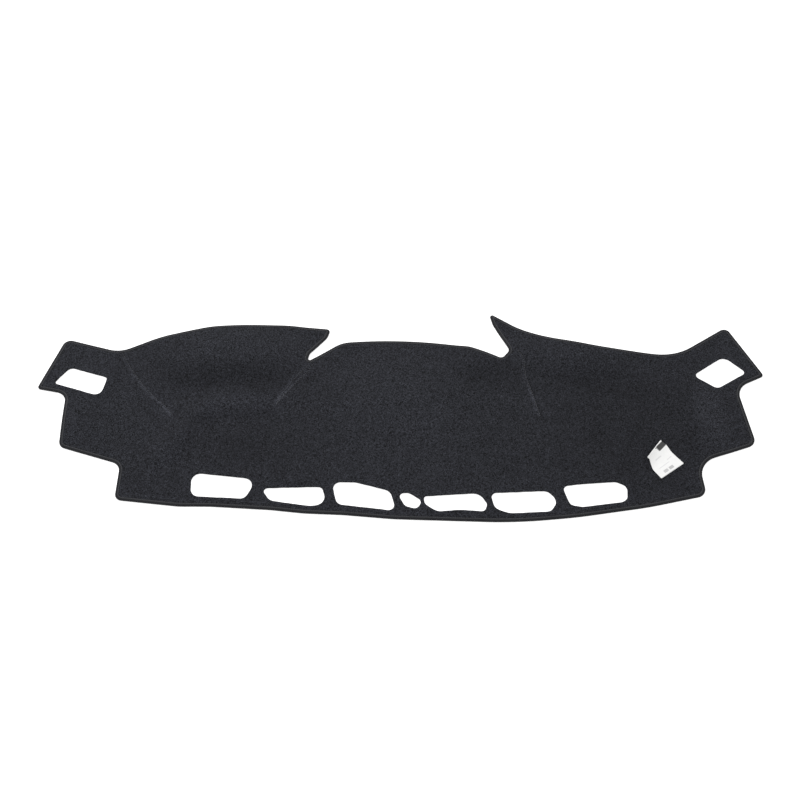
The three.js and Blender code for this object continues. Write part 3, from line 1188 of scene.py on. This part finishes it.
@dataclass(frozen=True)
class FeltFinish(Finish):
    """Short velour pile with painted light and shade in patches and beside the seams, lint and
    lighter cut edges.

    The pressed line is its distance from the windscreen edge, its half width and its gain. Each
    painted light patch is its x and y, its half sizes, its turn in degrees and its gain.
    """

    colour: tuple[float, float, float] = (0.0235, 0.0247, 0.0304)
    pile: tuple[float, float] = (0.0029, 1.4)
    contrast: float = 2.9
    clouds: tuple[float, float] = (0.05, 0.35)
    bump: tuple[float, float] = (0.8, 0.0011)
    roughness: float = 0.95
    specular: float = 0.15
    sheen: float = 0.035
    sheen_roughness: float = 0.45
    seam_light_shade_gain: float = 1.3
    cut_gain: float = 0.12
    pressed_line: tuple[float, float, float] = (0.014, 0.0012, 0.3)
    lint_colour: tuple[float, float, float] = (0.17, 0.17, 0.18)
    lint_spacing: float = 1 / 28
    patch_softness: float = 0.7
    patch_squareness: float = 2.5
    # Painted light and shade of the swells and of the pile's sheen, lighter above 0 and darker
    # below.
    painted_light_patches: tuple[tuple[float, float, float, float, float, float], ...] = (
        (-0.343, 0.157, 0.075, 0.027, -6, 0.18),
        (-0.353, 0.083, 0.13, 0.026, -4, -0.25),
        (-0.323, 0.02, 0.085, 0.017, 4, 0.2),
        (-0.293, -0.075, 0.09, 0.038, 8, -0.16),
        (-0.013, 0.0, 0.1, 0.15, 0, 0.17),
        (0.177, 0.093, 0.06, 0.024, 0, -0.16),
        (0.417, 0.071, 0.14, 0.028, -4, -0.14),
        (0.311, 0.152, 0.085, 0.03, -10, 0.12),
        (0.611, -0.019, 0.027, 0.07, 4, 0.33),
        (-0.649, -0.014, 0.027, 0.055, 0, 0.05),
        (0.46, -0.05, 0.13, 0.12, 0, -0.19),
    )

    def look(self, nodes: Nodes, place: NodeSocket) -> tuple[NodeSocket, NodeSocket]:
        """Fibres with the marks of cuts and the pressed line, painted light and shade at the seams
        and in patches, and lint on them.

        Args:
            nodes: The material's nodes.
            place: Where a point of the felt lies.

        Returns:
            The colour and the height.
        """
        shade, height = self.fibres(nodes, place)
        seam, cut, from_edge = (
            nodes.add("Attribute", attribute_name=name).outputs["Fac"]
            for name in ("seam", "cut", "windscreen")
        )
        marks = nodes.math("MULTIPLY_ADD", cut, self.cut_gain, 1.0)
        # The seam mark adds painted highlight and painted shade beside the darts.
        marks = nodes.math("MULTIPLY_ADD", seam, self.seam_light_shade_gain, marks)
        inset, half_width, gain = self.pressed_line
        pressed = self.effects.soft_line(nodes, from_edge, inset, half_width)
        marks = nodes.math("MULTIPLY_ADD", pressed, gain, marks)
        # Each patch paints the light or shade that a swell and the lie of the pile throw.
        for *spot, gain in self.painted_light_patches:
            mask = self.effects.soft_patch(
                nodes, place, spot, self.patch_softness, self.patch_squareness,
            )
            marks = nodes.math("MULTIPLY_ADD", mask, gain, marks)
        colour = self.scaled(nodes, shade, marks)
        return self.mixed(nodes, self.lint(nodes, place), colour, self.lint_colour), height

    def lint(self, nodes: Nodes, place: NodeSocket) -> NodeSocket:
        """Rare light specks of lint on the pile."""
        scale = 1 / self.lint_spacing
        cells = nodes.add("TexVoronoi", {"Vector": place, "Scale": scale}, feature="F1")
        size = nodes.add("SeparateColor", {0: cells.outputs["Color"]}).outputs[0]
        rare = nodes.math("GREATER_THAN", size, 0.93)
        speck = nodes.math("LESS_THAN", cells.outputs["Distance"], 0.03)
        return nodes.math("MULTIPLY", nodes.math("MULTIPLY", rare, speck), 0.8)


@dataclass(frozen=True)
class BackingFinish(Finish):
    """Flat needled underside of the felt."""

    colour: tuple[float, float, float] = (0.022, 0.022, 0.025)
    pile: tuple[float, float] = (0.0016, 0.5)
    contrast: float = 0.5
    clouds: tuple[float, float] = (0.03, 0.5)
    bump: tuple[float, float] = (0.6, 0.0004)
    roughness: float = 0.9
    specular: float = 0.2


@dataclass(frozen=True)
class TapeFinish(Finish):
    """Woven binding tape: ribs across it, a painted highlight on its shoulder, painted shade on the
    fold and along its inner edge.

    The shoulder highlight, fold shade and selvedge shade are painted lines along the tape: a place
    across it, a half width and a gain.
    """

    colour: tuple[float, float, float] = (0.0255, 0.026, 0.0295)
    pile: tuple[float, float] = (0.0014, 0.8)
    contrast: float = 0.5
    clouds: tuple[float, float] = (0.02, 0.5)
    bump: tuple[float, float] = (0.7, 0.0002)
    roughness: float = 0.8
    specular: float = 0.2
    sheen: float = 0.04
    sheen_roughness: float = 0.4
    rib: float = 0.0009
    rib_gain: float = 0.12
    warp_share: float = 0.4
    fuzz_share: float = 1.2
    # Painted highlight on the shoulder, painted shade on the fold and at the inner edge.
    shoulder_highlight: tuple[float, float, float] = (0.0042, 0.0009, 0.75)
    fold_shade: tuple[float, float, float] = (0.0075, 0.0014, -0.5)
    selvedge_shade: tuple[float, float, float] = (0.0004, 0.0005, -0.35)

    def look(self, nodes: Nodes, place: NodeSocket) -> tuple[NodeSocket, NodeSocket]:
        """Ribs and warp with fuzz on them, and the painted highlight and shade lines along the
        tape.

        Args:
            nodes: The material's nodes.
            place: Where a point of the tape lies.

        Returns:
            The colour and the height.
        """
        weave = nodes.add("UVMap", uv_map="tape").outputs[0]
        along, across, _ = nodes.add("SeparateXYZ", {0: weave}).outputs
        turns = math.tau / self.rib
        ribs = nodes.math("SINE", nodes.math("MULTIPLY", along, turns))
        warp = nodes.math("SINE", nodes.math("MULTIPLY", across, turns))
        shade, fuzz = self.fibres(nodes, place)
        height = nodes.math("MULTIPLY_ADD", warp, self.warp_share, ribs)
        height = nodes.math("MULTIPLY_ADD", fuzz, self.fuzz_share, height)
        # The ribs' tone, then painted highlight on the shoulder and painted shade on the fold and
        # inner edge.
        ribs_and_painted_light = nodes.math("MULTIPLY_ADD", ribs, self.rib_gain, 1.0)
        for middle, half_width, gain in (self.shoulder_highlight, self.fold_shade, self.selvedge_shade):
            line = self.effects.soft_line(nodes, across, middle, half_width)
            ribs_and_painted_light = nodes.math("MULTIPLY_ADD", line, gain, ribs_and_painted_light)
        return self.scaled(nodes, shade, ribs_and_painted_light), height


@dataclass(frozen=True)
class ThreadFinish(Finish):
    """Twisted polyester thread."""

    colour: tuple[float, float, float] = (0.075, 0.075, 0.08)
    pile: tuple[float, float] = (0.0007, 0.5)
    contrast: float = 0.6
    clouds: tuple[float, float] = (0.012, 1.0)
    roughness: float = 0.6
    sheen: float = 0.1


@dataclass(frozen=True)
class PaperFinish(Finish):
    """White coated paper with a dark head patch and a few pale plain fields.

    Each field is its x and y on the flat paper, its half sizes, its turn in degrees and its grey.
    """

    colour: tuple[float, float, float] = (0.94, 0.94, 0.93)
    pile: tuple[float, float] = (0.0006, 0.3)
    clouds: tuple[float, float] = (0.012, 0.08)
    bump: tuple[float, float] = (0.15, 0.0001)
    roughness: float = 0.55
    field_softness: float = 0.15
    field_squareness: float = 8.0
    fields: tuple[tuple[float, float, float, float, float, float], ...] = (
        (0.0185, 0.0548, 0.0122, 0.0053, 13, 0.04),
        (0.0045, 0.0553, 0.001, 0.001, 0, 0.12),
        (-0.004, 0.0375, 0.008, 0.0013, 6, 0.78),
        (0.014, 0.026, 0.006, 0.0011, 6, 0.8),
        (-0.0097, 0.008, 0.0052, 0.0032, 0, 0.6),
        (0.0038, 0.008, 0.0052, 0.0032, 0, 0.55),
        (-0.004, 0.0195, 0.013, 0.0009, 2, 0.8),
    )

    def look(self, nodes: Nodes, place: NodeSocket) -> tuple[NodeSocket, NodeSocket]:
        """Smooth paper with its fields.

        Args:
            nodes: The material's nodes.
            place: Where a point of the paper lies.

        Returns:
            The colour and the height.
        """
        flat = nodes.add("UVMap", uv_map="ticket").outputs[0]
        shade, height = self.fibres(nodes, place)
        colour = self.scaled(nodes, shade)
        for *spot, grey in self.fields:
            mask = self.effects.soft_patch(
                nodes, flat, spot, self.field_softness, self.field_squareness,
            )
            colour = self.mixed(nodes, mask, colour, (grey, grey, grey))
        return colour, height


@dataclass
class Studio:
    """White table, soft light and the camera at the photograph's angle."""

    elevation: float = 55.8
    distance: float = 2.9
    target: tuple[float, float, float] = (-0.0029, 0.0347, 0.0)
    half_width_seen: float = 0.7994
    sensor: float = 36
    floor_size: float = 6
    floor_gap: float = 0.0002
    world_strength: float = 0.76
    key_strength: float = 42
    floor_glow: float = 0.7
    key_place: tuple[float, float, float] = (-1.2, 1.6, 2.2)
    key_size: float = 2.2

    def build(self) -> None:
        """Sets up everything around the object."""
        self.camera()
        self.light()
        self.floor()
        bpy.context.scene.view_settings.view_transform = "Standard"

    def camera(self) -> None:
        """Places the camera on a line towards the target."""
        angle = math.radians(self.elevation)
        back = Vector((0, -math.cos(angle), math.sin(angle)))
        data = bpy.data.cameras.new("camera")
        data.sensor_width = self.sensor
        data.lens = self.sensor / 2 * self.distance / self.half_width_seen
        camera = bpy.data.objects.new("camera", data)
        camera.location = Vector(self.target) + back * self.distance
        camera.rotation_euler = (math.pi / 2 - angle, 0, 0)
        bpy.context.scene.collection.objects.link(camera)
        bpy.context.scene.camera = camera

    def light(self) -> None:
        """Even world light, and one large soft lamp from behind on the left."""
        world = bpy.data.worlds.new("studio")
        world.use_nodes = True
        nodes = Nodes(world.node_tree)
        background = world.node_tree.nodes["Background"]
        rays = nodes.add("LightPath")
        shown = nodes.math("MAXIMUM", rays.outputs["Is Camera Ray"], rays.outputs["Is Glossy Ray"])
        shown = nodes.math("MAXIMUM", shown, rays.outputs["Is Transmission Ray"])
        strength = nodes.math("MULTIPLY_ADD", shown, 1 - self.world_strength, self.world_strength)
        nodes.feed(background, {"Color": (1, 1, 1, 1), "Strength": strength})
        bpy.context.scene.world = world
        data = bpy.data.lights.new("key", "AREA")
        data.shape = "DISK"
        data.size = self.key_size
        data.energy = self.key_strength
        lamp = bpy.data.objects.new("key", data)
        lamp.location = self.key_place
        lamp.rotation_euler = (-Vector(self.key_place)).to_track_quat("-Z", "Y").to_euler()
        bpy.context.scene.collection.objects.link(lamp)

    def floor(self) -> None:
        """White table top that keeps a soft shadow."""
        bm = bmesh.new()
        bmesh.ops.create_grid(bm, x_segments=1, y_segments=1, size=self.floor_size / 2)
        material = bpy.data.materials.new("white_table")
        material.use_nodes = True
        nodes = Nodes(material.node_tree)
        material.node_tree.nodes.remove(material.node_tree.nodes["Principled BSDF"])
        output = material.node_tree.nodes["Material Output"]
        matt = nodes.add("BsdfDiffuse", {"Color": (0.8, 0.8, 0.8, 1)})
        rays = nodes.add("LightPath")
        strength = nodes.math("MULTIPLY", rays.outputs["Is Camera Ray"], self.floor_glow)
        glow = nodes.add("Emission", {"Color": (1, 1, 1, 1), "Strength": strength})
        both = nodes.add("AddShader", {0: matt.outputs[0], 1: glow.outputs[0]})
        nodes.feed(output, {"Surface": both.outputs[0]})
        floor = new_object("table_top", bm, material)
        floor.location.z = -self.floor_gap


def attach(piece: Object, slot: Slot, *nodes: str) -> None:
    """Puts a piece on the mat's one body.

    Args:
        piece: The piece.
        slot: The finish for it. Not used.
        nodes: Nodes of the frame that it stands for.
    """
    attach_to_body(piece, "root")
    if nodes:
        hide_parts(*nodes)
    LOG.info("%s: %d faces", piece.name, len(piece.data.polygons))


def main() -> None:
    """Builds the mat piece by piece, then the studio round it."""
    logging.basicConfig(level=logging.INFO, format="%(name)s: %(message)s")
    effects = Effects()
    pattern = Pattern()
    lie = Lie(drawing_shift(pattern, max(grow for grow, _ in Binding.section)))

    cover = Felt(pattern, lie)
    felt_finish = FeltFinish("carpet_felt", effects).build()
    backing_finish = BackingFinish("felt_backing", effects).build()
    felt = cover.build(felt_finish, backing_finish)
    attach(felt, Slot.FELT, "mat_panel")

    binding = Binding(pattern, lie)
    tape = binding.build(TapeFinish("binding_tape", effects).build())
    attach(tape, Slot.TAPE, "edge_binding")
    thread = ThreadFinish("sewing_thread", effects).build()
    rim_stitches = binding.stitches(thread)
    attach(rim_stitches, Slot.TAPE)
    dart_stitches = DartThread(cover).build(thread)
    attach(dart_stitches, Slot.TAPE)

    ticket = Ticket(lie, cover.thickness)
    paper = ticket.build(PaperFinish("ticket_paper", effects).build())
    attach(paper, Slot.PAPER, "label")

    Studio().build()


if __name__ == "__main__":
    main()
